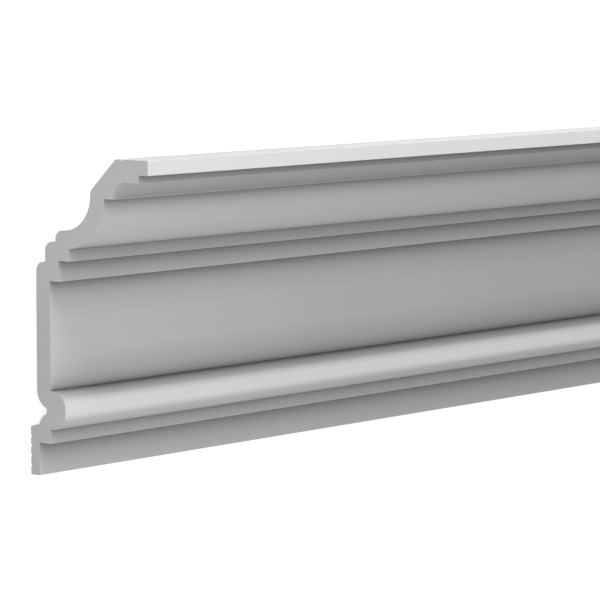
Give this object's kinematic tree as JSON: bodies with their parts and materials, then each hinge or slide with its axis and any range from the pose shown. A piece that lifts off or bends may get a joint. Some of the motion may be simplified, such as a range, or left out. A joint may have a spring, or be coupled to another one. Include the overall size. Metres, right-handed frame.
{
  "type": "cornice moulding",
  "caption": "Straight length of classical cornice moulding with an ovolo, stepped fascias, plain frieze and half-round bead, hollow behind, for the corner between wall and ceiling.",
  "frame": {"origin": "centre of the footprint, on the wall plane that the lip's back lies on, at the middle of the length and of the section's height", "axes": "+X along the length, to the right as seen from the room; +Y from the lip up to the ceiling as installed; +Z out of the wall, which is up as the moulding lies on its back"},
  "size_m": [2, 0.2, 0.1],
  "materials": {
    "primed_polyurethane": "white factory primer on moulded rigid polyurethane foam"
  },
  "bodies": {
    "root": {"cornice_moulding": "primed_polyurethane"}
  },
  "joints": []
}
